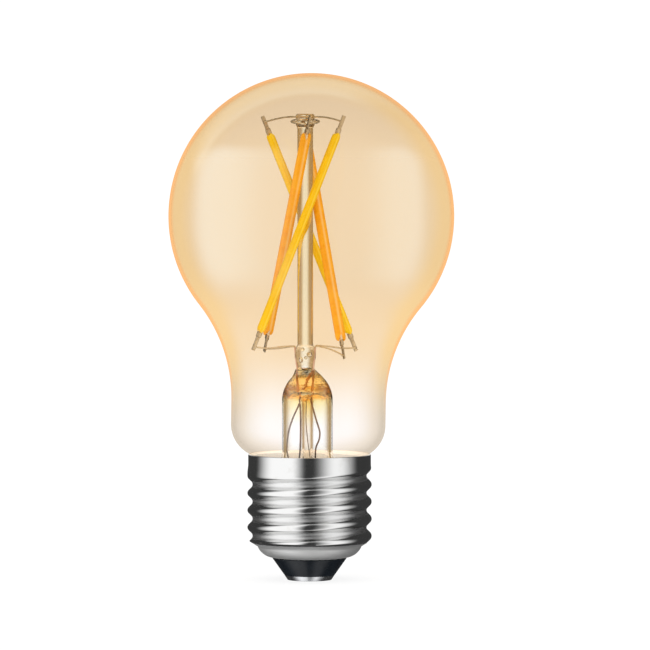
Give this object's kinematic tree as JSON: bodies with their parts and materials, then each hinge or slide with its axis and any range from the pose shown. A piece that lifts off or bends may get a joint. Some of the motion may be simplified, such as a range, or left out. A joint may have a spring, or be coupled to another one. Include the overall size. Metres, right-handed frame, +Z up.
{
  "type": "smart light bulb",
  "caption": "Filament-style smart lamp: amber glass globe on a screw cap, with warm and cool LED filaments round a glass pillar and its boards inside the cap.",
  "frame": {"origin": "centre of the outer face of the centre contact, at the foot of the lamp", "axes": "+Z up the lamp's axis towards the globe's top, +X to the right as the picture shows it, -Y towards the viewer"},
  "size_m": [0.0602, 0.0602, 0.1069],
  "materials": {
    "amber_glass": "smooth clear blown glass with an amber coating that thins out towards the neck",
    "clear_glass": "clear drawn glass, fire polished",
    "press_glass": "clear glass with seed bubbles and a burnt amber tint",
    "lead_wire": "nickel plated wire, drawn",
    "brown_wire": "oxidised copper-clad wire",
    "seal_wire": "copper-clad seal wire, borated red",
    "cool_silicone": "yellow phosphor silicone, smooth",
    "warm_silicone": "orange phosphor silicone, smooth",
    "strip_ceramic": "white sintered ceramic strip",
    "led_chip": "pale blue semiconductor chip",
    "tab_metal": "stamped plated steel",
    "cap_nickel": "polished nickel plating on drawn brass",
    "black_insulator": "black moulded vitrite",
    "contact_metal": "nickel plated, lightly turned",
    "cement": "matt basing cement",
    "liner_plastic": "milky moulded plastic",
    "board_green": "solder mask on glass fibre board",
    "board_blue": "solder mask on glass fibre board",
    "capacitor_sleeve": "shrunk plastic sleeve",
    "black_epoxy": "moulded epoxy",
    "ferrite": "sintered ferrite",
    "enamelled_copper": "enamelled copper wire",
    "resistor_lacquer": "lacquered ceramic body",
    "tinned_metal": "tin plated",
    "chip_ceramic": "sintered ceramic with tinned ends",
    "red_insulation": "red wire insulation",
    "blue_insulation": "blue wire insulation"
  },
  "bodies": {
    "root": {"glass_envelope": "amber_glass", "stem_flare": "clear_glass", "exhaust_tube": "clear_glass", "stem_press": "press_glass", "centre_pillar": "clear_glass", "pillar_button": "clear_glass", "cool_link_wire": "lead_wire", "warm_link_wire": "lead_wire", "cool_left_coat": "cool_silicone", "cool_left_strip": "strip_ceramic", "cool_left_chips": "led_chip", "cool_left_tabs": "tab_metal", "cool_right_coat": "cool_silicone", "cool_right_strip": "strip_ceramic", "cool_right_chips": "led_chip", "cool_right_tabs": "tab_metal", "warm_front_coat": "warm_silicone", "warm_front_strip": "strip_ceramic", "warm_front_chips": "led_chip", "warm_front_tabs": "tab_metal", "warm_back_coat": "warm_silicone", "warm_back_strip": "strip_ceramic", "warm_back_chips": "led_chip", "warm_back_tabs": "tab_metal", "common_inner_lead": "lead_wire", "common_branch_wire": "lead_wire", "warm_inner_lead": "lead_wire", "cool_inner_lead": "lead_wire", "seal_wires": "seal_wire", "common_outer_lead": "brown_wire", "warm_outer_lead": "brown_wire", "cool_outer_lead": "brown_wire", "antenna_wire": "brown_wire", "cap_shell": "cap_nickel", "cap_insulator": "black_insulator", "centre_contact": "contact_metal", "basing_cement": "cement", "insulating_liner": "liner_plastic", "driver_board": "board_green", "smoothing_capacitor": "capacitor_sleeve", "capacitor_leads": "tinned_metal", "bridge_rectifier": "black_epoxy", "choke_core": "ferrite", "choke_winding": "enamelled_copper", "fusible_resistor": "resistor_lacquer", "resistor_leads": "tinned_metal", "driver_chips": "black_epoxy", "chip_resistors": "black_epoxy", "chip_capacitors": "chip_ceramic", "solder_joints": "tinned_metal", "live_wire": "red_insulation", "neutral_wire": "blue_insulation", "radio_board": "board_blue", "radio_chip": "black_epoxy", "radio_crystal": "tinned_metal", "radio_shield": "tinned_metal"}
  },
  "joints": []
}
